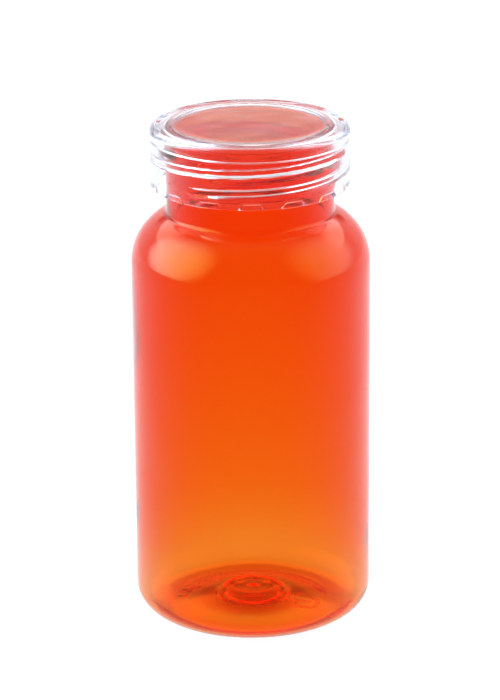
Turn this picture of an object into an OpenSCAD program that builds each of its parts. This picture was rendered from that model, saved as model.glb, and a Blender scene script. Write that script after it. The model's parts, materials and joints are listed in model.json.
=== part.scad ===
// Prescription vial: a blow-moulded bottle with a clear screw cap and a loose clear liner ring.
// Millimetres, +Z up. The origin is on the vial's axis, in the plane that it stands on.

/* [Bottle] */
// Outer diameter of the straight body
body_d = 49.8; // [49.4:0.1:52]
// Height at which the shoulder starts to turn in
shoulder_z = 77.3; // [60:0.1:77.4]
// Radius of the broad shoulder curve
shoulder_r = 11.55; // [11.4:0.05:11.8]
// Angle that the broad shoulder curve turns through before the tight one
shoulder_turn = 61.3; // [59:0.1:62]
// Radius of the tight curve where the shoulder meets the neck
shoulder_tip_r = 5; // [4.6:0.1:5.4]
// Radius of the heel where it leaves the side wall
heel_side_r = 5.3; // [4.8:0.1:5.8]
// Radius of the heel where it meets the standing ring
heel_foot_r = 8; // [7.6:0.1:8.4]
// Angle below level at which the two heel curves meet
heel_turn = 50; // [45:1:55]
// Wall thickness of the body
wall = 1.1; // [0.8:0.1:1.4]

/* [Base] */
// Inner radius of the ring that the vial stands on
ring_in_r = 16.6; // [16:0.1:17]
// How far the middle of the base is pushed up
push_up = 2.4; // [1.6:0.1:2.8]
// Radius of the foot of the thick disc in the middle of the floor
boss_r = 7.5; // [7:0.1:8.5]
// Radius of the thick disc's top
boss_top_r = 6.2; // [5.5:0.1:6.6]
// Height of the floor above the standing plane at the foot of the disc
floor_z = 2.9; // [2.7:0.1:3.2]
// Height of the thick disc above the floor beside it
boss_h = 1.8; // [1.4:0.1:2]
// Radius of the ring left round the moulding gate
gate_ring_r = 3.9; // [3.6:0.1:4.8]
// Radius of the well under the moulding gate
well_r = 4.8; // [4:0.1:5.5]
// Height of the well above the middle of the pushed-up base
well_h = 0.7; // [0.4:0.1:0.9]
// Height by which the raised marks stand out under the base
mark_h = 0.25; // [0.15:0.05:0.3]
// Number of raised bars in the row of marks
row_marks = 5; // [3:1:6]

/* [Neck] */
// Outer diameter of the neck wall between the threads
neck_d = 34.8; // [34.5:0.1:35]
// Wall thickness of the neck
neck_wall = 1.7; // [1.5:0.1:2]
// Height of the lip of the mouth
lip_z = 105; // [104.95:0.05:105.05]
// Round on the lip's edges
lip_round = 0.35; // [0.2:0.05:0.5]

/* [Thread] */
// Rise of the thread in one turn
pitch = 4.233; // [4.2:0.001:4.26]
// Outer diameter over the bottle's thread
thread_d = 37.2; // [36.9:0.1:37.4]
// Width of each thread ridge at its foot
ridge_foot = 2; // [1.8:0.1:2.1]
// Width of each thread ridge at its crest
ridge_crest = 0.9; // [0.7:0.1:1]
// Angle about the axis at which the bottle's thread begins, low on the neck
neck_thread_from = -120; // [-130:1:-100]
// Angle that the bottle's thread turns through
neck_thread_sweep = 335; // [300:5:340]
// Height of the bottle's thread on the front of the neck, where the angle is -90 degrees
neck_thread_z = 98.55; // [98.5:0.01:98.6]

/* [Cap] */
// Outer diameter of the cap
cap_d = 41.36; // [41.2:0.02:42]
// Height of the cap's lower edge
cap_low_z = 93.95; // [93.6:0.05:94.2]
// Height of the flat land round the cap's top
cap_top_z = 106.65; // [106.5:0.05:107]
// Round on the cap's top edge
cap_round = 1.4; // [1.2:0.1:1.6]
// Height of the ceiling inside the cap
ceiling_z = 105.75; // [105.7:0.05:105.85]
// Inner diameter of the bore beside the ceiling and over the cap's thread
cap_bore_d = 35.54; // [35.4:0.02:35.7]
// Inner diameter of the cap's wall between the threads
cap_root_d = 38.1; // [38:0.02:38.3]
// Height at which the narrow bore steps out to the wall
step_z = 103.5; // [103.4:0.05:103.5]
// Drop of the land from the cap's rounded edge to the window's foot
land_dip = 0.1; // [0.05:0.01:0.15]
// Height by which the window stands above its foot
window_rise = 0.17; // [0.1:0.01:0.3]
// Radius of the foot of the window's sloping edge
window_foot_r = 17.75; // [17:0.05:18.2]
// Radius of the window inside its sloping edge
window_r = 15.7; // [15:0.05:16.2]
// Crown of the window above its own edge
window_crown = 0.1; // [0.08:0.01:0.2]
// Angle about the axis at which the cap's thread begins, low on the wall
cap_thread_from = -134; // [-140:1:-120]
// Angle that the cap's thread turns through
cap_thread_sweep = 480; // [420:5:500]
// Height of the cap's thread where the angle is -90 degrees
cap_thread_z = 97.1; // [97.05:0.01:97.15]

/* [Ratchet] */
// Number of notches round the cap's lower edge
notches = 14; // [12:1:16]
// Height of each notch
notch_h = 1; // [0.8:0.1:1.2]
// Width of each notch at its top
notch_top_w = 3.8; // [3.4:0.1:4]
// Width that the sloping side adds at the cap's lower edge
notch_ramp_w = 0.9; // [0.6:0.1:1]
// Wall left outside each notch
notch_skin = 0.75; // [0.6:0.05:0.9]

/* [Liner] */
// Diameter of the liner ring
liner_d = 35.1; // [34.9:0.1:35.2]
// Diameter of the hole in the liner ring
liner_bore_d = 33; // [32.6:0.1:33.4]
// Thickness of the liner ring
liner_t = 0.75; // [0.7:0.05:0.8]

/* [Hidden] */
$fn = 128;
eps = 0.01;
body_r = body_d / 2;
neck_r = neck_d / 2;
mouth_r = neck_r - neck_wall;
cap_r = cap_d / 2;
cap_root_r = cap_root_d / 2;
cap_bore_r = cap_bore_d / 2;
// Depth to which a ridge's foot is sunk into the wall that carries it
ridge_sink = 0.5;
// Angle between the sections of a ridge, and the angle over which its ends fade out
ridge_step = 5;
ridge_fade = 30;
// Centres of the curves that make the bottle's outline, as [radius from the axis, height]
shoulder_c = [body_r - shoulder_r, shoulder_z];
tip_c = shoulder_c + (shoulder_r - shoulder_tip_r) * [cos(shoulder_turn), sin(shoulder_turn)];
heel_gap = heel_foot_r - heel_side_r;
side_c = [body_r - heel_side_r, heel_foot_r - heel_gap * sin(heel_turn)];
foot_c = [side_c[0] - heel_gap * cos(heel_turn), heel_foot_r];
// Height of the well's ceiling above the standing plane
well_z = push_up + well_h;
// Radius of the sphere that the pushed-up base follows
push_r = (ring_in_r * ring_in_r + push_up * push_up) / (2 * push_up);
// The row of raised bars: its radius, its first angle and the angle that it covers
row_marks_r = 15.2;
row_marks_from = 119;
row_marks_sweep = 52;
// The raised ring: its radius from the axis and its angle
dial_r = 11;
dial_angle = -14;
crown_steps = 8;
window_z = cap_top_z - land_dip + window_rise;

// A slice of a disc about a centre, between two angles less than 90 degrees apart
module slice(centre, radius, from_a, to_a) {
    reach = 2 * radius;
    translate(centre)
        intersection() {
            circle(r = radius);
            polygon([[0, 0], reach * [cos(from_a), sin(from_a)], reach * [cos(to_a), sin(to_a)]]);
        }
}

// Half outline of the body, moved in from the outside by a wall's thickness
module body_outline(inset) {
    slice(foot_c, heel_foot_r - inset, -90, -heel_turn);
    slice(side_c, heel_side_r - inset, -heel_turn, 0);
    slice(shoulder_c, shoulder_r - inset, 0, shoulder_turn);
    slice(tip_c, shoulder_tip_r - inset, shoulder_turn, 90);
    polygon([
        [0, inset],
        [foot_c[0], inset],
        foot_c,
        side_c,
        [body_r - inset, side_c[1]],
        [body_r - inset, shoulder_z],
        shoulder_c,
        tip_c,
        [tip_c[0], tip_c[1] + shoulder_tip_r - inset],
        [0, tip_c[1] + shoulder_tip_r - inset]
    ]);
}

// One section of a ridge: four points [radius, height], foot then crest
function ridge_section(foot_r, crest_r, z) = [
    [foot_r, z - ridge_foot / 2],
    [crest_r, z - ridge_crest / 2],
    [crest_r, z + ridge_crest / 2],
    [foot_r, z + ridge_foot / 2]
];

// A helical ridge on a wall. Its crest sinks into the wall at both ends.
module ridge(wall_r, crest_r, from_a, sweep, front_z) {
    side = sign(crest_r - wall_r);
    last = ceil(sweep / ridge_step);
    points = [
        for (i = [0 : last])
            let (
                turned = sweep * i / last,
                a = from_a + turned,
                fade = min(1, turned / ridge_fade, (sweep - turned) / ridge_fade),
                low_r = wall_r - side * 0.1,
                now_r = low_r + (crest_r - low_r) * fade
            )
            for (p = ridge_section(wall_r - side * ridge_sink, now_r, front_z + pitch * (a + 90) / 360))
                [p[0] * cos(a), p[0] * sin(a), p[1]]
    ];
    walls = [
        for (i = [0 : last - 1])
            for (k = [0 : 3])
                let (p = 4 * i + k, q = 4 * i + (k + 1) % 4)
                each (side > 0 ? [[p, q + 4, p + 4], [p, q, q + 4]] : [[p, p + 4, q + 4], [p, q + 4, q]])
    ];
    first_end = [[0, 2, 1], [0, 3, 2]];
    far = 4 * last;
    far_end = [[far, far + 1, far + 2], [far, far + 2, far + 3]];
    ends = concat(first_end, far_end);
    polyhedron(points, concat(walls, side > 0 ? ends : [for (f = ends) [f[0], f[2], f[1]]]));
}

module bottle() {
    color([0.93, 0.32, 0.02, 0.75]) {
        difference() {
            union() {
                rotate_extrude() bottle_outline();
                ridge(neck_r, thread_d / 2, neck_thread_from, neck_thread_sweep, neck_thread_z);
            }
            rotate_extrude() cavity_outline();
            translate([0, 0, push_up - push_r]) sphere(r = push_r);
            translate([0, 0, -1]) cylinder(r = well_r, h = well_z + 1);
        }
        base_marks();
    }
}

// Height of the underside of the base at a radius
function under_z(r) = push_up - push_r + sqrt(push_r * push_r - r * r);

// The raised marks under the base: a row of bars, a ring with a pointer, and the gate
module base_marks() {
    for (i = [0 : row_marks - 1])
        rotate([0, 0, row_marks_from + row_marks_sweep * i / (row_marks - 1)])
            raised_bar(row_marks_r, 2.2, 0.9);
    rotate([0, 0, dial_angle]) {
        raised(dial_r)
            translate([dial_r, 0])
                difference() {
                    circle(r = 3.4);
                    circle(r = 2.6);
                }
        raised_bar(dial_r, 3, 0.8);
    }
    translate([0, 0, well_z - mark_h]) cylinder(r = 1.1, h = 2 * mark_h);
}

// A bar with round ends that points at the axis
module raised_bar(at_r, length, width) {
    raised(at_r)
        translate([at_r, 0]) {
            square([length - width, width], center = true);
            for (side = [-1, 1])
                translate([side * (length - width) / 2, 0]) circle(r = width / 2);
        }
}

// Stands a flat shape out from the underside of the base at a radius
module raised(at_r) {
    sunk = 0.6;
    translate([0, 0, under_z(at_r) - mark_h]) linear_extrude(height = mark_h + sunk) children();
}

// Half outline of the whole bottle as a solid
module bottle_outline() {
    body_outline(0);
    difference() {
        translate([0, shoulder_z]) square([neck_r, lip_z - shoulder_z]);
        lip_corner(neck_r, 1);
    }
}

// The sharp edge to take off the lip, on its outer (1) or inner (-1) side
module lip_corner(edge_r, side) {
    c = [edge_r - side * lip_round, lip_z - lip_round];
    difference() {
        translate([min(c[0], edge_r + side), c[1]]) square([abs(edge_r + side - c[0]), 1]);
        translate(c) circle(r = lip_round);
    }
}

// Half outline of the space inside the bottle
module cavity_outline() {
    difference() {
        union() {
            body_outline(wall);
            translate([0, shoulder_z]) square([mouth_r, lip_z - shoulder_z + 1]);
            lip_corner(mouth_r, -1);
        }
        floor_outline();
    }
}

// Half outline of the thick floor, its middle disc, gate ring and gate
module floor_outline() {
    polygon([
        [0, 0],
        [foot_c[0], 0],
        [foot_c[0], wall],
        [boss_r, floor_z],
        [boss_top_r, floor_z + boss_h],
        [0, floor_z + boss_h]
    ]);
    translate([gate_ring_r, floor_z + boss_h]) circle(r = 0.3);
    translate([0, floor_z + boss_h]) square([1, 0.5]);
}

module cap() {
    color([0.9, 0.92, 0.95, 0.35])
        difference() {
            union() {
                difference() {
                    rotate_extrude() cap_outline();
                    rotate_extrude() cap_space();
                }
                ridge(cap_root_r, cap_bore_r, cap_thread_from, cap_thread_sweep, cap_thread_z);
            }
            ratchet();
        }
}

// Half outline of the cap as a solid
module cap_outline() {
    low_round = 0.3;
    slice([cap_r - cap_round, cap_top_z - cap_round], cap_round, 0, 90);
    slice([cap_r - low_round, cap_low_z + low_round], low_round, -90, 0);
    polygon(concat(
        [
            [0, cap_low_z],
            [cap_r - low_round, cap_low_z],
            [cap_r - low_round, cap_low_z + low_round],
            [cap_r, cap_low_z + low_round],
            [cap_r, cap_top_z - cap_round],
            [cap_r - cap_round, cap_top_z - cap_round],
            [cap_r - cap_round, cap_top_z],
            [window_foot_r, cap_top_z - land_dip]
        ],
        [for (i = [0 : crown_steps]) crown_point(1 - i / crown_steps)]
    ));
}

// A point on the window's crown, at a fraction of the window's radius
function crown_point(part) = [window_r * part, window_z + window_crown * (1 - part * part)];

// Half outline of the space inside the cap
module cap_space() {
    translate([0, cap_low_z - 1]) square([cap_root_r, step_z - cap_low_z + 1]);
    translate([0, cap_low_z]) square([cap_bore_r, ceiling_z - cap_low_z]);
}

// The notches round the inside of the cap's lower edge
module ratchet() {
    start_r = cap_root_r - 1;
    for (i = [0 : notches - 1])
        rotate([0, 0, 360 * i / notches - 89])
            translate([start_r, 0, cap_low_z])
                rotate([90, 0, 90])
                    linear_extrude(height = cap_r - notch_skin - start_r)
                        polygon([
                            [-notch_top_w / 2 - notch_ramp_w, -eps],
                            [notch_top_w / 2 + eps, -eps],
                            [notch_top_w / 2, notch_h],
                            [-notch_top_w / 2, notch_h]
                        ]);
}

module liner() {
    color([0.95, 0.95, 0.95, 0.4])
        rotate_extrude()
            translate([liner_bore_d / 2, lip_z]) square([(liner_d - liner_bore_d) / 2, liner_t]);
}

bottle();
cap();
liner();
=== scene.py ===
"""Prescription vial: an orange blow-moulded bottle, a clear screw cap and a clear liner ring. Metres, +Z up."""
import json
import math

import bpy
import numpy as np
from mathutils import Matrix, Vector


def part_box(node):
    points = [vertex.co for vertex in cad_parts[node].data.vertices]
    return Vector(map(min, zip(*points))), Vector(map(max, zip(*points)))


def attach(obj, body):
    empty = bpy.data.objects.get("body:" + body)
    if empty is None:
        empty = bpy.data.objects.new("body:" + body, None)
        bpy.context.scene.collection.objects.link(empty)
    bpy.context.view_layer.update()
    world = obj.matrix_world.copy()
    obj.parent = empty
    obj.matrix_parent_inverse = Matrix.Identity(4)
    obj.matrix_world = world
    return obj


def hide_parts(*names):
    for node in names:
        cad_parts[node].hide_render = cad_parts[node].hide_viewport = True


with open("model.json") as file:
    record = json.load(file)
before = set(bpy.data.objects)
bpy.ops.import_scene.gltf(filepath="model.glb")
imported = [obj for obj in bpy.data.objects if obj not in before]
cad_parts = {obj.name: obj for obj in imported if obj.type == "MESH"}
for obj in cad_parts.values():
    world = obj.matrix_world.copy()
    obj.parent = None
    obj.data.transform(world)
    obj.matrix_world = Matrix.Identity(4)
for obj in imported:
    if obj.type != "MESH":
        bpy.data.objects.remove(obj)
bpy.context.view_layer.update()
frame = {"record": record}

MM = 0.001


def node_size(node):
    """A node's outer radius, lowest and highest height in millimetres."""
    low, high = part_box(node)
    return high.x / MM, low.z / MM, high.z / MM


# ---------------------------------------------------------------- sizes, in millimetres and degrees
BODY_R, _, LIP_Z = node_size("bottle")
CAP_R, CAP_LOW, _ = node_size("cap")
LINER_R, LINER_LOW, LINER_HIGH = node_size("liner")
MOUTH_R = next(m["dims"]["r_mm"] for m in frame["record"]["mounts"] if m["name"] == "mouth")

# Bottle: the shoulder is two arcs, and so is the heel, from the wall down to the standing ring.
NECK_R, THREAD_R = 17.4, 18.6
SHOULDER_Z, SHOULDER_R, SHOULDER_TURN, TIP_R = 77.3, 11.55, 61.3, 5.0
HEEL_SIDE_R, HEEL_FOOT_R, HEEL_TURN = 5.3, 8.0, 50.0
TOP_WALL, LOW_WALL, HEEL_WALL = 1.25, 0.85, 0.5
LOW_WALL_RISE = 14                      # from the heel's centre up to where the wall is LOW_WALL thick
NECK_INSIDE_RISE = 0.6                  # the neck's bore ends this far above the shoulder's inside
INNER_TIP_TURN, INNER_FOOT_TURN = 70, -60

# Base: pushed up inside the standing ring, with a flat well and a gate in it below.
# Above it, inside the bottle, are a sloping floor and a boss with a raised ring and a pip.
RING_IN_R, PUSH_UP = 16.6, 2.4
PUSH_R = (RING_IN_R ** 2 + PUSH_UP ** 2) / (2 * PUSH_UP)
WELL_R, WELL_Z = 4.8, 3.1
GATE_R, GATE_DROP = 1.1, 0.2
INNER_FLOOR = [[19.6, 1.25], [17.5, 1.3], [15.0, 1.6], [12.0, 2.1]]
BOSS_R, BOSS_TOP_R, FLOOR_Z, BOSS_H = 7.5, 6.2, 2.9, 1.8
GATE_RING_R, GATE_RING_H = 3.9, 0.25
PIP_R, PIP_H = 0.7, 0.4
CORNER_R, BROAD_CORNER_R = 0.25, 1.1    # corners are rounded this much, and more at the neck's foot and the base

# Marks under the base: a row of plain bars, and a ring with a pointer.
MARK_H, MARK_EDGE, MARK_LIFT = 0.5, 0.2, 0.05
MARK_OUT_R, MARK_NEAR = 17, 0.3         # marks lie inside this radius, this close to the underside
ROW_R, ROW_FROM, ROW_SWEEP, ROW_COUNT = 15.2, 119, 52, 5
BAR_HALF_LENGTH, BAR_HALF_WIDTH = 1.1, 0.45
DIAL_R, DIAL_ANGLE, DIAL_RING_R, DIAL_HALF_WIDTH, POINTER_HALF_LENGTH = 11, -14, 3.0, 0.4, 1.5

# Cap
CAP_BORE_R, CAP_ROOT_R = 17.77, 19.05
CAP_LAND_Z, CAP_ROUND, RIM_ROUND, LAND_DIP = 106.65, 1.4, 0.3, 0.1
WINDOW_FOOT_R, WINDOW_R, WINDOW_Z, WINDOW_CROWN = 17.75, 15.7, 106.72, 0.1
BEAD_H, BEAD_W = 0.05, 0.28             # the fine bead round the window
STEP_Z, CEILING_Z = 103.5, 105.75
CAP_CORNER_R = 0.12
NOTCHES, NOTCH_H, NOTCH_TOP_W, NOTCH_RAMP_W, NOTCH_R = 14, 1.0, 3.8, 0.9, CAP_R - 0.75
NOTCH_EDGE_W, NOTCH_FROM, NOTCH_REACH = 0.3, 89, 1.8

# Liner
LINER_IN = 16.5
LINER_SKIN, LINER_ROUND = 0.02, 0.1     # it stays this far inside its CAD node, with rounded edges

# Threads: the rise per turn, a ridge's width at its foot and crest, and where each one runs.
PITCH = 4.233
RIDGE_FOOT, RIDGE_CREST, RIDGE_FADE = 2.0, 0.9, 30.0
BOTTLE_RIDGE = dict(start=-120, sweep=335, front_z=98.55)
CAP_RIDGE = dict(start=-134, sweep=480, front_z=97.1)

# Mesh rows follow the threads between two heights, and drop back to their start over ROW_BACK degrees.
ROW_BACK, ROW_CLEAR = 25.0, 1.2
BOTTLE_ROWS = dict(start=-120, first_z=98.2, low=95.5, high=LIP_Z - 0.4)
CAP_ROWS = dict(start=105, first_z=95.8, low=CAP_LOW + 0.3, high=STEP_Z - 0.2)
NECK_LOW = 95                           # the bottle's thread lies above this height
BOTTLE_SEGMENTS, CAP_SEGMENTS, LINER_SEGMENTS = 320, 420, 224
BOTTLE_BEND, CAP_BEND = 5, 6            # the outline turns at most about this much between two rings
SHARP_TURN = 32                         # edges that turn more than this are shaded sharp

# ---------------------------------------------------------------- light and camera
# The floor glows, so that it is white in the picture. It is dimmer in front (y) and at the sides (x), in metres.
FLOOR_SIZE, FLOOR_ROUGH = 1.4, 0.6
FLOOR_FRONT, FLOOR_BACK, FLOOR_NEAR, FLOOR_FAR = 0.7, 0.95, -0.06, -0.2
SIDE_NEAR, SIDE_FAR, FLOOR_SIDE, BACK_NEAR, BACK_FAR = 0.07, 0.16, 0.93, 0.15, 0.35
# Under the vial a painted shadow cuts the floor's white glow out to these distances from a point a little behind
# the axis, and a dim red painted glow stands in for light passed through the orange bottle.
PAINTED_SHADOW_REACH, PAINTED_SHADOW_BACK = (0.009, 0.016), 0.005
PAINTED_RED_GLOW, UNDER_COLOUR, FLOOR_COLOUR = (0.42, 0.03, 0.0), (0.6, 0.6, 0.6), (0.1, 0.1, 0.1)

# The world's light by direction. Each pair is where a direction's x, y or z starts and ends a smooth step.
WORLD_COLOUR = (1.0, 0.985, 1.0)
BACK_Y, FRONT_Z = (-0.8, 0.0), (0.3, 0.8)
FRONT_LOW, FRONT_HIGH = 0.6, 0.7
PATCH_X, PATCH_Y, PATCH_FOOT, PATCH_TOP, PATCH_DIM = (0.3, 0.5), (0.3, 0.6), (0.228, 0.296), (0.35, 0.40), 0.8
STRIP_Y, STRIP_FOOT, STRIP_TOP, STRIP_LIGHT = (0.2, 0.5), (0.39, 0.43), (0.62, 0.75), 2.0
LEFT_BOX, RIGHT_BOX = 8.0, 3.0
BOX_WAY, BOX_WIDE, BOX_COLOUR = (0.89, -0.08, 0.445), 0.72, (0.5, 1.1, 1.4)
BOUNCES = 64                            # light crosses many clear walls

# Distances in body radii, angles in degrees, the rest in millimetres.
ELEVATION, DISTANCE, AIM, ROLL = 19.06, 28.46, 2.3023, -0.45
SIDEWAYS, SENSOR, LENS = -0.3, 36.0, 173.38629

# ---------------------------------------------------------------- looks
# depth_colour and density tint the light on its way through the wall, and surface tints it where it enters.
# gloss_tint scales the reflection. Texture scales are per metre, and depths are in metres.
BOTTLE_LOOK = dict(
    ior=1.57, roughness=0.02, surface=(0.9, 0.97, 1), clearness=1.0, gloss_tint=(0.3, 0.35, 0.04),
    depth_colour=(0.9975, 0.61, 0.0), density=3200, wave_scale=45, wave_depth=0.0004,
    grain_scale=900, grain_depth=0.000004, scratch_scale=(60, 2500, 300), scratch_depth=0.000004,
    speck_scale=110, speck_size=0.03, speck_depth=0.00004)
CAP_LOOK = dict(
    ior=1.585, roughness=0.045, surface=(0.96, 0.94, 0.96), clearness=0.996, gloss_tint=(0.12, 0.12, 0.12),
    depth_colour=(0.9, 0.86, 0.9), density=60, wave_scale=120, wave_depth=0.00004,
    grain_scale=1800, grain_depth=0.000002, scratch_scale=(80, 3000, 500), scratch_depth=0.000004,
    speck_scale=350, speck_size=0.07, speck_depth=0.00005)
LINER_LOOK = dict(CAP_LOOK, ior=1.45, roughness=0.03, clearness=1.0, gloss_tint=(1, 1, 1))
SCRATCH_TURN, SCRATCH_FROM, SCRATCH_FULL = (0.4, 0.2, 0.9), 0.68, 0.74
ROUGH_LESS, ROUGH_MORE = 0.7, 1.3       # how far the grain changes the roughness


# ---------------------------------------------------------------- outlines: arrays of [radius, height]
def arc(centre, radius, start, end, count=40):
    """Points along a circle, angles in degrees."""
    a = np.radians(np.linspace(start, end, count))
    return np.column_stack([centre[0] + radius * np.cos(a), centre[1] + radius * np.sin(a)])


def even(points, step):
    """The same line with points at an even spacing."""
    length = np.concatenate([[0], np.cumsum(np.hypot(*np.diff(points, axis=0).T))])
    at = np.linspace(0, length[-1], int(length[-1] / step) + 1)
    return np.column_stack([np.interp(at, length, points[:, k]) for k in (0, 1)])


def soften(points, radius, step=0.02):
    """Rounds an outline's corners to about a radius. Its two ends lie on the axis."""
    line = even(points, step)
    half = int(3 * radius / step)
    kernel = np.exp(-0.5 * (np.arange(-half, half + 1) * step / (0.6 * radius)) ** 2)
    kernel /= kernel.sum()
    mirror = np.array([-1.0, 1.0])
    padded = np.vstack([line[half:0:-1] * mirror, line, line[-2:-half - 2:-1] * mirror])
    out = np.column_stack([np.convolve(padded[:, k], kernel, "valid") for k in (0, 1)])
    out[[0, -1], 0] = 0
    return out


def thin(line, turn, step_at):
    """Keeps the points that a curve needs: one per turn in degrees, or per step_at(radius, height)."""
    ways = np.unwrap(np.arctan2(*np.diff(line, axis=0)[:, ::-1].T))
    lengths = np.hypot(*np.diff(line, axis=0).T)
    kept, run, turned = [0], 0.0, 0.0
    for i in range(1, len(line) - 1):
        run += lengths[i - 1]
        turned += abs(ways[i] - ways[i - 1])
        if run >= step_at(*line[i]) or turned >= math.radians(turn):
            kept.append(i)
            run = turned = 0.0
    return line[kept + [len(line) - 1]]


def ease(x):
    """0 to 1 with soft ends."""
    x = np.clip(x, 0, 1)
    return x * x * (3 - 2 * x)


def above(value, edge, fade):
    """0 below an edge, and 1 from one fade above it."""
    return ease((value - edge) / fade)


def below(value, edge, fade):
    """0 above an edge, and 1 from one fade below it."""
    return ease((edge - value) / fade)


# ---------------------------------------------------------------- meshes
def make_piece(name, points, faces):
    """An object from points in millimetres."""
    mesh = bpy.data.meshes.new(name)
    mesh.from_pydata((points * MM).tolist(), [], faces)
    mesh.validate()
    mesh.shade_smooth()
    mesh.set_sharp_from_angle(angle=math.radians(SHARP_TURN))
    piece = bpy.data.objects.new(name, mesh)
    bpy.context.scene.collection.objects.link(piece)
    return piece


def lathe(name, outline, segments, shape):
    """A closed surface round the axis. shape(radius, height, angle) moves the points of its rings."""
    angle = np.linspace(0, 2 * math.pi, segments, endpoint=False)
    rings = outline[1:-1]
    radius, height = (np.repeat(rings[:, k:k + 1], segments, axis=1) for k in (0, 1))
    turn = np.repeat(angle[None, :], len(rings), axis=0)
    radius, height = shape(radius, height, turn)
    grid = np.stack([radius * np.cos(turn), radius * np.sin(turn), height], axis=2).reshape(-1, 3)
    points = np.vstack([grid, [[0, 0, outline[0][1]], [0, 0, outline[-1][1]]]])
    first, last = len(grid), len(grid) + 1
    here = np.arange(segments)
    there = (here + 1) % segments
    row = np.arange(len(rings) - 1)[:, None] * segments
    corners = [row + here, row + there, row + segments + there, row + segments + here]
    faces = np.stack(corners, axis=2).reshape(-1, 4).tolist()
    end = (len(rings) - 1) * segments
    faces += [[first, int(b), int(a)] for a, b in zip(here, there)]
    faces += [[last, int(end + a), int(end + b)] for a, b in zip(here, there)]
    return make_piece(name, points, faces)


def ring_lathe(name, outline, segments):
    """A closed ring round the axis from a closed outline."""
    angle = np.linspace(0, 2 * math.pi, segments, endpoint=False)
    x = outline[:, 0, None] * np.cos(angle)
    y = outline[:, 0, None] * np.sin(angle)
    z = np.repeat(outline[:, 1, None], segments, axis=1)
    points = np.stack([x, y, z], axis=2).reshape(-1, 3)
    here = np.arange(segments)
    there = (here + 1) % segments
    count = len(outline)
    row = np.arange(count)[:, None] * segments
    up = (np.arange(count)[:, None] + 1) % count * segments
    faces = np.stack([row + here, row + there, up + there, up + here], axis=2).reshape(-1, 4).tolist()
    return make_piece(name, points, faces)


# ---------------------------------------------------------------- threads
def ridge(height, angle, start, sweep, front_z):
    """How far a helical ridge stands out, from 0 to 1. It is at front_z where the angle is -90 degrees."""
    out = np.zeros_like(height)
    turned = np.mod(np.degrees(angle) - start, 360)
    for lap in range(int(sweep // 360) + 1):
        t = turned + 360 * lap
        centre = front_z + PITCH * (start + t + 90) / 360
        side = (RIDGE_FOOT / 2 - np.abs(height - centre)) / ((RIDGE_FOOT - RIDGE_CREST) / 2)
        side = 0.5 * np.clip(side, 0, 1) + 0.5 * ease(side)
        ends = ease(np.minimum(t, sweep - t) / RIDGE_FADE)
        out = np.maximum(out, side * ends)
    return out


def follow(height, angle, start, first_z, low, high):
    """Slides a mesh's rows up along a thread between two heights, so that they run along its ridge."""
    turned = np.mod(np.degrees(angle) - start, 360)
    rise = PITCH * np.minimum(turned / 360, (360 - turned) / ROW_BACK * (1 - ROW_BACK / 360))
    from_low = np.clip((height - low) / (first_z - ROW_CLEAR - low), 0, 1)
    from_high = np.clip((high - height) / (high - ROW_CLEAR - first_z), 0, 1)
    return height + rise * np.minimum(from_low, from_high)


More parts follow.
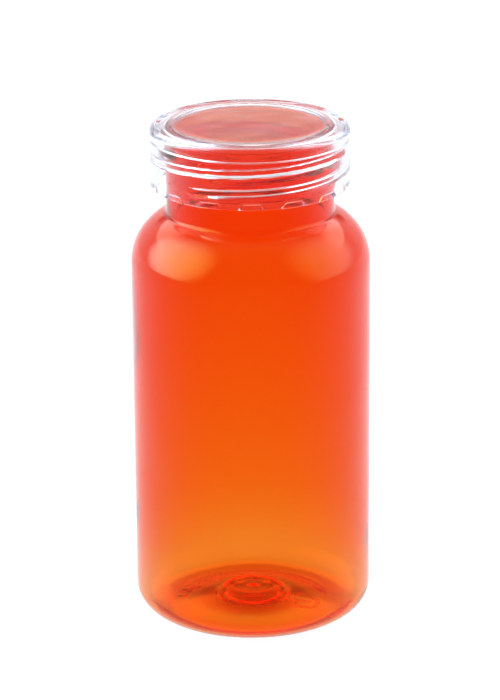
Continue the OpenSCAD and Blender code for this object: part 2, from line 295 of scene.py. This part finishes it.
# ---------------------------------------------------------------- bottle
def bottle_outline():
    """The bottle's outline: from the axis below, round the outside to the lip, and down the inside to the axis."""
    lean = np.radians(SHOULDER_TURN)
    shoulder_c = np.array([BODY_R - SHOULDER_R, SHOULDER_Z])
    tip_c = shoulder_c + (SHOULDER_R - TIP_R) * np.array([math.cos(lean), math.sin(lean)])
    tip_end = math.degrees(math.acos((NECK_R - tip_c[0]) / TIP_R))
    lean = np.radians(HEEL_TURN)
    gap = HEEL_FOOT_R - HEEL_SIDE_R
    side_c = np.array([BODY_R - HEEL_SIDE_R, HEEL_FOOT_R - gap * math.sin(lean)])
    foot_c = np.array([side_c[0] - gap * math.cos(lean), HEEL_FOOT_R])
    push_half = math.degrees(math.asin(RING_IN_R / PUSH_R))
    well_half = math.degrees(math.asin(WELL_R / PUSH_R))
    gate_z, boss_z = WELL_Z - GATE_DROP, FLOOR_Z + BOSS_H
    outside = [
        [[0, gate_z], [GATE_R, gate_z], [GATE_R, WELL_Z], [WELL_R, WELL_Z]],
        arc([0, PUSH_UP - PUSH_R], PUSH_R, 90 - well_half, 90 - push_half, 60),
        arc(foot_c, HEEL_FOOT_R, -90, -HEEL_TURN),
        arc(side_c, HEEL_SIDE_R, -HEEL_TURN, 0),
        arc(shoulder_c, SHOULDER_R, 0, SHOULDER_TURN, 60),
        arc(tip_c, TIP_R, SHOULDER_TURN, tip_end),
        [[NECK_R, LIP_Z], [MOUTH_R, LIP_Z]],
    ]
    boss = [
        [BOSS_R, FLOOR_Z], [BOSS_TOP_R, boss_z],
        [GATE_RING_R + 0.8, boss_z + 0.1], [GATE_RING_R, boss_z + GATE_RING_H], [GATE_RING_R - 1, boss_z - 0.15],
        [PIP_R + 0.5, boss_z - 0.2], [PIP_R, boss_z + PIP_H - 0.05], [0, boss_z + PIP_H],
    ]
    inside = [
        [[MOUTH_R, tip_c[1] + TIP_R - TOP_WALL + NECK_INSIDE_RISE]],
        arc(tip_c, TIP_R - TOP_WALL, INNER_TIP_TURN, SHOULDER_TURN, 10),
        arc(shoulder_c, SHOULDER_R - TOP_WALL, SHOULDER_TURN, 0, 60),
        [[BODY_R - LOW_WALL, side_c[1] + LOW_WALL_RISE]],
        arc(side_c, HEEL_SIDE_R - HEEL_WALL, 0, -HEEL_TURN),
        arc(foot_c, HEEL_FOOT_R - HEEL_WALL, -HEEL_TURN, INNER_FOOT_TURN),
        INNER_FLOOR,
        boss,
    ]
    sharp = np.vstack(outside + inside)
    fine, broad = soften(sharp, CORNER_R), soften(sharp, BROAD_CORNER_R)
    radius, height = fine[:, 0], fine[:, 1]
    neck_foot = above(height, 83.5, 2) * below(height, 91, 2)
    ring = below(height, 2, 0.6) * below(radius, 17.6, 0.6) * above(radius, 12, 2)
    middle = below(radius, 8.6, 0.8) * below(height, 5.6, 0.5)
    floor_rim = below(height, 2.6, 0.3) * below(radius, 22.5, 0.6) * above(radius, 11, 2)
    share = np.maximum.reduce([neck_foot, ring, middle, floor_rim])[:, None]
    return fine + share * (broad - fine)


def bottle_step(radius, height):
    """The most that two rings of the bottle's mesh are apart: close at the thread and over the base."""
    if height > NECK_LOW + 1 and radius > NECK_R - 0.5:
        return 0.12
    if height < 5.5 and radius < MARK_OUT_R + 0.2:
        return 0.3
    return 2.5


def bottle_shape(radius, height, angle):
    """Adds the thread, and the marks under the base."""
    neck = (radius > NECK_R - 0.05) & (height > NECK_LOW)
    height = np.where(neck, follow(height, angle, **BOTTLE_ROWS), height)
    thread = ridge(height, angle, **BOTTLE_RIDGE)
    radius = np.where(neck, radius + (THREAD_R - NECK_R) * thread, radius)
    under = (radius < MARK_OUT_R) & (height < under_z(radius) + MARK_NEAR)
    room = np.clip(height - MARK_LIFT, 0, MARK_H)
    return radius, height - np.where(under, room * marks(radius, angle), 0)


def under_z(radius):
    """Height of the pushed-up base's underside."""
    return PUSH_UP - PUSH_R + np.sqrt(PUSH_R ** 2 - np.minimum(radius, RING_IN_R) ** 2)


def marks(radius, angle):
    """The raised marks under the base, from 0 to 1."""
    def stroke(along, across, half_length, half_width):
        ends = ease((half_length - np.abs(along)) / MARK_EDGE)
        return np.minimum(ends, ease((half_width - np.abs(across)) / MARK_EDGE + 0.5))

    out = np.zeros_like(radius)
    for i in range(ROW_COUNT):
        turn = np.radians(ROW_FROM + ROW_SWEEP * i / (ROW_COUNT - 1))
        along, across = radius * np.cos(angle - turn) - ROW_R, radius * np.sin(angle - turn)
        out = np.maximum(out, stroke(along, across, BAR_HALF_LENGTH, BAR_HALF_WIDTH))
    turn = np.radians(DIAL_ANGLE)
    along, across = radius * np.cos(angle - turn) - DIAL_R, radius * np.sin(angle - turn)
    from_ring = np.abs(np.hypot(along, across) - DIAL_RING_R)
    out = np.maximum(out, ease((DIAL_HALF_WIDTH - from_ring) / MARK_EDGE + 0.5))
    return np.maximum(out, stroke(along, across, POINTER_HALF_LENGTH, DIAL_HALF_WIDTH))


def build_bottle():
    outline = thin(bottle_outline(), BOTTLE_BEND, bottle_step)
    return lathe("bottle_shell", outline, BOTTLE_SEGMENTS, bottle_shape)


# ---------------------------------------------------------------- cap
def cap_outline():
    """The cap's outline: from the axis under the ceiling, down the inside, and up the outside to the window."""
    bead = [[WINDOW_R - b, WINDOW_Z + BEAD_H * math.cos(b / BEAD_W * math.pi / 2)]
            for b in np.linspace(-BEAD_W, BEAD_W, 9)]
    window = [[r, WINDOW_Z + WINDOW_CROWN * (1 - (r / WINDOW_R) ** 2)] for r in np.linspace(WINDOW_R, 0, 12)[1:]]
    return np.vstack([
        [[0, CEILING_Z], [CAP_BORE_R, CEILING_Z], [CAP_BORE_R, STEP_Z]],
        [[CAP_ROOT_R, STEP_Z], [CAP_ROOT_R, CAP_LOW]],
        arc([CAP_R - RIM_ROUND, CAP_LOW + RIM_ROUND], RIM_ROUND, -90, 0, 10),
        arc([CAP_R - CAP_ROUND, CAP_LAND_Z - CAP_ROUND], CAP_ROUND, 0, 90, 20),
        [[WINDOW_FOOT_R, CAP_LAND_Z - LAND_DIP]],
        bead,
        window,
    ])


def cap_step(radius, height):
    """The most that two rings of the cap's mesh are apart: close where the notches end and at the thread."""
    if height < CAP_LOW + 0.2 and abs(radius - NOTCH_R) < 0.1:
        return 0.03
    if radius < CAP_ROOT_R + 0.1 and height < STEP_Z + 0.5:
        return 0.1
    return 1.5


def notch(angle):
    """How deep the ratchet's notches are cut at an angle, from 0 to 1: a ramp on one side, steep on the other."""
    pitch = 2 * math.pi * NOTCH_R / NOTCHES
    along = np.mod((angle + math.radians(NOTCH_FROM)) * NOTCH_R + pitch / 2, pitch) - pitch / 2
    left = (along + NOTCH_TOP_W / 2 + NOTCH_RAMP_W) / NOTCH_RAMP_W
    right = (NOTCH_TOP_W / 2 + NOTCH_EDGE_W - along) / NOTCH_EDGE_W
    return np.clip(np.minimum(left, right), 0, 1)


def cap_shape(radius, height, angle):
    """Adds the thread, and the notches in the lower edge's inside."""
    wall = (radius > CAP_BORE_R + 0.1) & (radius < CAP_ROOT_R + 0.1)
    height = np.where(wall, follow(height, angle, **CAP_ROWS), height)
    thread = ridge(height, angle, **CAP_RIDGE)
    radius = np.where(wall & (height < STEP_Z - 0.1), radius - (CAP_ROOT_R - CAP_BORE_R) * thread, radius)
    inside = np.clip((NOTCH_R + 0.02 - radius) / 0.04, 0, 1)
    share = np.clip(1 - (height - CAP_LOW) / NOTCH_REACH, 0, 1)
    return radius, height + NOTCH_H * notch(angle) * share * inside


def build_cap():
    outline = thin(soften(cap_outline(), CAP_CORNER_R), CAP_BEND, cap_step)
    return lathe("screw_cap", outline, CAP_SEGMENTS, cap_shape)


# ---------------------------------------------------------------- liner
def build_liner():
    """A plain flat ring with four rounded edges."""
    low, high = LINER_LOW + LINER_SKIN + LINER_ROUND, LINER_HIGH - LINER_SKIN - LINER_ROUND
    out_r, in_r = LINER_R - LINER_SKIN - LINER_ROUND, LINER_IN + LINER_ROUND
    corners = [([out_r, low], -90), ([out_r, high], 0), ([in_r, high], 90), ([in_r, low], 180)]
    outline = np.vstack([arc(centre, LINER_ROUND, start, start + 90, 6) for centre, start in corners])
    return ring_lathe("liner_ring", outline, LINER_SEGMENTS)


# ---------------------------------------------------------------- shader nodes
def new_material(name):
    material = bpy.data.materials.new(name)
    material.use_nodes = True
    tree = material.node_tree
    tree.nodes.clear()
    return material, tree, tree.nodes.new("ShaderNodeOutputMaterial")


def scale_to(tree, source, low, high, start, end, smooth=True):
    """Runs from start to end while the source goes from low to high."""
    made = tree.nodes.new("ShaderNodeMapRange")
    made.interpolation_type = "SMOOTHSTEP" if smooth else "LINEAR"
    tree.links.new(source, made.inputs["Value"])
    for socket, value in zip(("From Min", "From Max", "To Min", "To Max"), (low, high, start, end)):
        made.inputs[socket].default_value = value
    return made.outputs["Result"]


def combine(tree, operation, a, b):
    """A Math node on two sockets or numbers."""
    made = tree.nodes.new("ShaderNodeMath")
    made.operation = operation
    for socket, value in zip(made.inputs, (a, b)):
        if isinstance(value, (int, float)):
            socket.default_value = value
        else:
            tree.links.new(value, socket)
    return made.outputs["Value"]


def clear_plastic(name, look):
    """A clear moulded plastic: tinted through its depth, with slow waves, fine grain, scratches and specks."""
    material, tree, output = new_material(name)

    def node(kind, **inputs):
        made = tree.nodes.new("ShaderNode" + kind)
        for socket, value in inputs.items():
            made.inputs[socket.replace("_", " ")].default_value = value
        return made

    def relief(height, distance, normal=None):
        made = node("Bump", Strength=1.0, Distance=distance)
        tree.links.new(height, made.inputs["Height"])
        if normal:
            tree.links.new(normal, made.inputs["Normal"])
        return made.outputs["Normal"]

    place = node("TexCoord").outputs["Object"]
    waves = node("TexNoise", Scale=look["wave_scale"], Detail=1.0)
    grain = node("TexNoise", Scale=look["grain_scale"], Detail=4.0)
    stretch = node("Mapping", Rotation=SCRATCH_TURN, Scale=look["scratch_scale"])
    scratches = node("TexNoise", Scale=1.0, Detail=2.0)
    specks = node("TexVoronoi", Scale=look["speck_scale"])
    for texture in (waves, grain, specks, stretch):
        tree.links.new(place, texture.inputs["Vector"])
    tree.links.new(stretch.outputs["Vector"], scratches.inputs["Vector"])
    scratch = scale_to(tree, scratches.outputs["Fac"], SCRATCH_FROM, SCRATCH_FULL, 0.0, 1.0, smooth=False)
    speck = scale_to(tree, specks.outputs["Distance"], look["speck_size"], 0.0, 0.0, 1.0, smooth=False)
    normal = relief(waves.outputs["Fac"], look["wave_depth"])
    normal = relief(grain.outputs["Fac"], look["grain_depth"], normal)
    normal = relief(scratch, look["scratch_depth"], normal)
    normal = relief(speck, look["speck_depth"], normal)
    least, most = look["roughness"] * ROUGH_LESS, look["roughness"] * ROUGH_MORE
    rough = scale_to(tree, grain.outputs["Fac"], 0.3, 0.7, least, most, smooth=False)

    shader = node("BsdfPrincipled", Base_Color=(*look["surface"], 1), IOR=look["ior"],
                  Transmission_Weight=look["clearness"], Specular_Tint=(*look["gloss_tint"], 1))
    tree.links.new(rough, shader.inputs["Roughness"])
    tree.links.new(normal, shader.inputs["Normal"])
    tree.links.new(shader.outputs["BSDF"], output.inputs["Surface"])
    volume = node("VolumeAbsorption", Color=(*look["depth_colour"], 1), Density=look["density"])
    tree.links.new(volume.outputs["Volume"], output.inputs["Volume"])
    return material


# ---------------------------------------------------------------- stage
def build_stage():
    """A plain pale floor that glows, dimmer in front and at the sides, with a painted shadow and a dim red painted
    glow under the vial.
    """
    corners = [(-1, -1), (1, -1), (1, 1), (-1, 1)]
    mesh = bpy.data.meshes.new("studio_floor")
    mesh.from_pydata([(x * FLOOR_SIZE, y * FLOOR_SIZE, 0) for x, y in corners], [], [(0, 1, 2, 3)])
    floor = bpy.data.objects.new("studio_floor", mesh)
    bpy.context.scene.collection.objects.link(floor)
    material, tree, output = new_material("floor_white_painted_shadow")
    shader = tree.nodes.new("ShaderNodeBsdfPrincipled")
    shader.inputs["Roughness"].default_value = FLOOR_ROUGH
    shader.inputs["Specular IOR Level"].default_value = 0.0
    tree.links.new(shader.outputs["BSDF"], output.inputs["Surface"])

    place = tree.nodes.new("ShaderNodeTexCoord").outputs["Object"]
    split = tree.nodes.new("ShaderNodeSeparateXYZ")
    tree.links.new(place, split.inputs["Vector"])
    x, y = split.outputs["X"], split.outputs["Y"]
    ahead = scale_to(tree, y, FLOOR_FAR, FLOOR_NEAR, FLOOR_FRONT, FLOOR_BACK)
    across = combine(tree, "MULTIPLY", x, x)
    aside = scale_to(tree, across, SIDE_NEAR ** 2, SIDE_FAR ** 2, 1.0, FLOOR_SIDE)
    aside = combine(tree, "MAXIMUM", aside, scale_to(tree, y, BACK_NEAR, BACK_FAR, 0.0, 1.0))
    tree.links.new(combine(tree, "MULTIPLY", ahead, aside), shader.inputs["Emission Strength"])

    # Painted shadow under the vial: near the axis the white glow gives way to a dim red painted glow, and the
    # floor is paler.
    offset = tree.nodes.new("ShaderNodeVectorMath")
    offset.operation = "DISTANCE"
    offset.inputs[1].default_value = (0, PAINTED_SHADOW_BACK, 0)
    tree.links.new(place, offset.inputs[0])
    outside = scale_to(tree, offset.outputs["Value"], *PAINTED_SHADOW_REACH, 0.0, 1.0)
    for socket, under, around in (("Emission Color", PAINTED_RED_GLOW, (1, 1, 1)),
                                  ("Base Color", UNDER_COLOUR, FLOOR_COLOUR)):
        blend = tree.nodes.new("ShaderNodeMix")
        blend.data_type = "RGBA"
        tree.links.new(outside, blend.inputs["Factor"])
        blend.inputs["A"].default_value = (*under, 1)
        blend.inputs["B"].default_value = (*around, 1)
        tree.links.new(blend.outputs["Result"], shader.inputs[socket])
    mesh.materials.append(material)


def build_world():
    """Studio light by direction: white behind, dimmer in front, with a strip above and a soft box at each side."""
    world = bpy.data.worlds.new("studio")
    bpy.context.scene.world = world
    world.use_nodes = True
    tree = world.node_tree
    tree.nodes.clear()
    way = tree.nodes.new("ShaderNodeTexCoord").outputs["Generated"]
    split = tree.nodes.new("ShaderNodeSeparateXYZ")
    tree.links.new(way, split.inputs["Vector"])
    x, y, z = (split.outputs[k] for k in "XYZ")

    def multiply(a, b):
        return combine(tree, "MULTIPLY", a, b)

    def rest_of(share):
        return combine(tree, "SUBTRACT", 1.0, share)

    def band(foot, top):
        """1 between two heights, with soft edges."""
        return multiply(scale_to(tree, z, *foot, 0.0, 1.0), scale_to(tree, z, *top, 1.0, 0.0))

    behind = scale_to(tree, y, *BACK_Y, 0.0, 1.0)
    front = scale_to(tree, z, *FRONT_Z, FRONT_LOW, FRONT_HIGH)
    total = combine(tree, "ADD", behind, multiply(front, rest_of(behind)))
    narrow = scale_to(tree, combine(tree, "ABSOLUTE", x, 0), *PATCH_X, 1.0, 0.0)
    narrow = multiply(narrow, scale_to(tree, y, *PATCH_Y, 0.0, 1.0))
    dark = multiply(multiply(narrow, band(PATCH_FOOT, PATCH_TOP)), PATCH_DIM)
    total = multiply(total, rest_of(dark))
    strip = multiply(band(STRIP_FOOT, STRIP_TOP), scale_to(tree, y, *STRIP_Y, 0.0, STRIP_LIGHT))
    total = combine(tree, "ADD", total, strip)
    boxes = 0.0
    for side, strength in ((-1, LEFT_BOX), (1, RIGHT_BOX)):
        facing = tree.nodes.new("ShaderNodeVectorMath")
        facing.operation = "DOT_PRODUCT"
        tree.links.new(way, facing.inputs[0])
        facing.inputs[1].default_value = (side * BOX_WAY[0], BOX_WAY[1], BOX_WAY[2])
        box = scale_to(tree, facing.outputs["Value"], BOX_WIDE, 1.0, 0.0, strength)
        boxes = combine(tree, "ADD", box, boxes)

    both = tree.nodes.new("ShaderNodeAddShader")
    for socket, strength, colour in zip(both.inputs, (total, boxes), (WORLD_COLOUR, BOX_COLOUR)):
        light = tree.nodes.new("ShaderNodeBackground")
        light.inputs["Color"].default_value = (*colour, 1)
        tree.links.new(strength, light.inputs["Strength"])
        tree.links.new(light.outputs["Background"], socket)
    tree.links.new(both.outputs["Shader"], tree.nodes.new("ShaderNodeOutputWorld").inputs["Surface"])


def build_camera():
    """A long lens, looking a little down on the vial."""
    unit = BODY_R * MM
    elevation, distance, aim = math.radians(ELEVATION), DISTANCE * unit, AIM * unit
    data = bpy.data.cameras.new("camera")
    data.sensor_width = SENSOR
    data.lens = LENS
    camera = bpy.data.objects.new("camera", data)
    bpy.context.scene.collection.objects.link(camera)
    camera.location = (SIDEWAYS * MM, -distance * math.cos(elevation), aim + distance * math.sin(elevation))
    look = Matrix.Rotation(math.pi / 2 - elevation, 3, "X") @ Matrix.Rotation(math.radians(ROLL), 3, "Z")
    camera.rotation_euler = look.to_euler()
    bpy.context.scene.camera = camera


# ---------------------------------------------------------------- scene
bottle = build_bottle()
cap = build_cap()
liner = build_liner()
bottle.data.materials.append(clear_plastic("pet_orange", BOTTLE_LOOK))
cap.data.materials.append(clear_plastic("cap_clear", CAP_LOOK))
liner.data.materials.append(clear_plastic("liner_clear", LINER_LOOK))
for piece, body, slot in ((bottle, "bottle", "bottle_orange"), (cap, "cap", "cap_clear"),
                          (liner, "liner", "liner_clear")):
    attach(piece, body)
    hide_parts(body)

build_stage()
build_world()
build_camera()
scene = bpy.context.scene
scene.view_settings.view_transform = "Standard"
scene.cycles.max_bounces = BOUNCES
scene.cycles.transmission_bounces = BOUNCES
scene.cycles.glossy_bounces = BOUNCES
